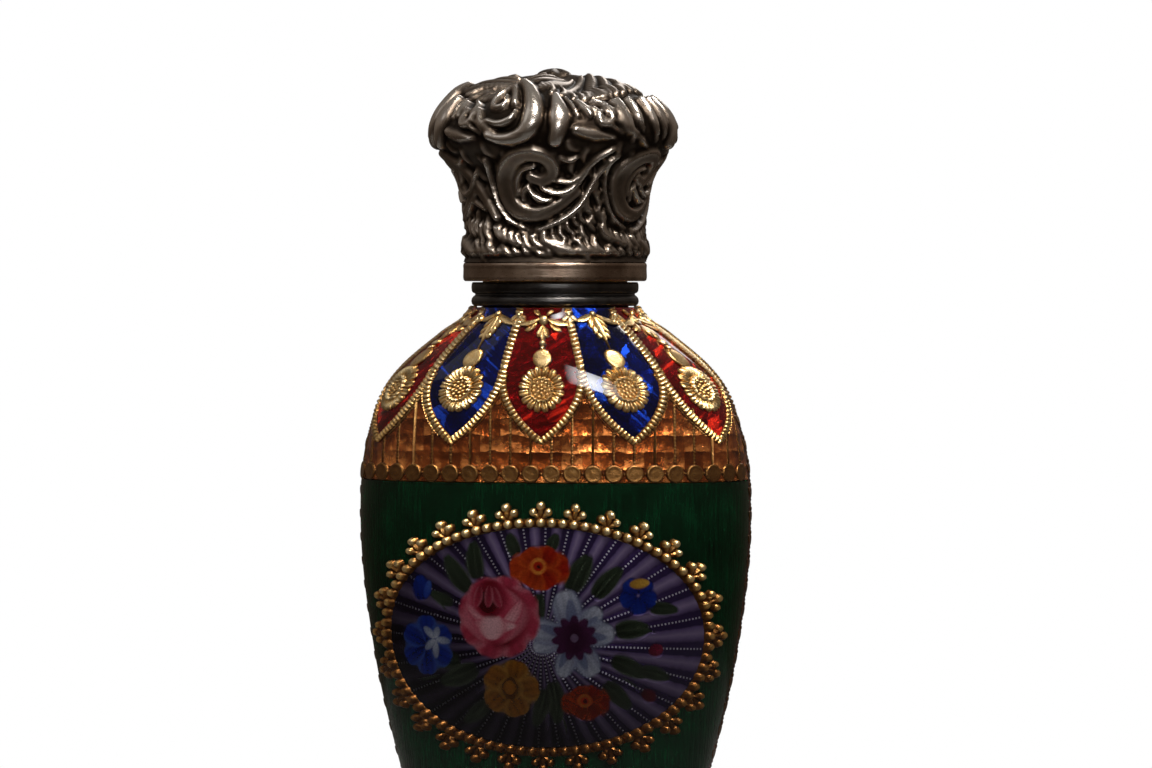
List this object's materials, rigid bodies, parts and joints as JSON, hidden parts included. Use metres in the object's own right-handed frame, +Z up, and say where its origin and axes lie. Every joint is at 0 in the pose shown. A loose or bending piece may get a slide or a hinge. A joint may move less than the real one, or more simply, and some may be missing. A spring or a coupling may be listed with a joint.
{
  "type": "scent bottle",
  "caption": "Flattened ovoid enamelled metal scent bottle with applied gold, a raised silver push-on cap and a ground glass stopper.",
  "frame": {"origin": "centre of the underside of the foot", "axes": "+Z up through the neck and cap, -Y out of the decorated front face, +X towards the right narrow side"},
  "size_m": [0.042, 0.0267, 0.0964],
  "materials": {
    "gilt_metal": "satin gilt metal",
    "applied_gold": "thin stamped gold under a clear glaze",
    "raised_silver": "tarnished raised silver, darker in the hollows",
    "blackened_metal": "blackened, soft gloss",
    "red_enamel": "translucent glossy enamel over crinkled foil",
    "blue_enamel": "translucent glossy enamel over crinkled foil",
    "copper_enamel": "translucent glossy enamel over ribbed foil",
    "green_enamel": "translucent glossy enamel over fine upright engraving",
    "violet_enamel": "translucent glossy enamel over ray engraving, painted flowers",
    "maroon_enamel": "dark glossy enamel",
    "stopper_glass": "clear glass, ground plug"
  },
  "bodies": {
    "flask": {"front_shell": "gilt_metal", "copper_ground_front": "copper_enamel", "green_ground_front": "green_enamel", "medallion_front": "violet_enamel", "medallion_border_front": "applied_gold", "lappet_borders_front": "applied_gold", "disc_row_front": "applied_gold", "lappet_red_front_1": "red_enamel", "pendant_front_1": "applied_gold", "lappet_blue_front_2": "blue_enamel", "pendant_front_2": "applied_gold", "lappet_red_front_3": "red_enamel", "pendant_front_3": "applied_gold", "lappet_blue_front_4": "blue_enamel", "pendant_front_4": "applied_gold", "lappet_red_front_5": "red_enamel", "pendant_front_5": "applied_gold", "back_shell": "gilt_metal", "copper_ground_back": "copper_enamel", "green_ground_back": "green_enamel", "medallion_back": "violet_enamel", "medallion_border_back": "applied_gold", "lappet_borders_back": "applied_gold", "disc_row_back": "applied_gold", "lappet_red_back_1": "red_enamel", "pendant_back_1": "applied_gold", "lappet_blue_back_2": "blue_enamel", "pendant_back_2": "applied_gold", "lappet_red_back_3": "red_enamel", "pendant_back_3": "applied_gold", "lappet_blue_back_4": "blue_enamel", "pendant_back_4": "applied_gold", "lappet_red_back_5": "red_enamel", "pendant_back_5": "applied_gold", "side_stripe_right": "maroon_enamel", "side_spray_right": "applied_gold", "side_stripe_left": "maroon_enamel", "side_spray_left": "applied_gold", "base_plate": "gilt_metal", "foot_ring": "blackened_metal", "neck_tube": "gilt_metal", "neck_mouth": "gilt_metal", "neck_collar": "blackened_metal"},
    "cap": {"cap_shell": "raised_silver", "cap_band": "raised_silver", "cap_liner": "gilt_metal"},
    "stopper": {"stopper": "stopper_glass"}
  },
  "joints": [
    {"name": "cap_lift", "type": "slide", "parent": "flask", "child": "cap", "axis": [0, 0, 1], "range_m": [0, 0.045]},
    {"name": "stopper_lift", "type": "slide", "parent": "flask", "child": "stopper", "axis": [0, 0, 1], "range_m": [0, 0.018]}
  ],
  "couplings": [
    {"joint": "stopper_lift", "follows": "cap_lift", "ratio": 0.4}
  ]
}
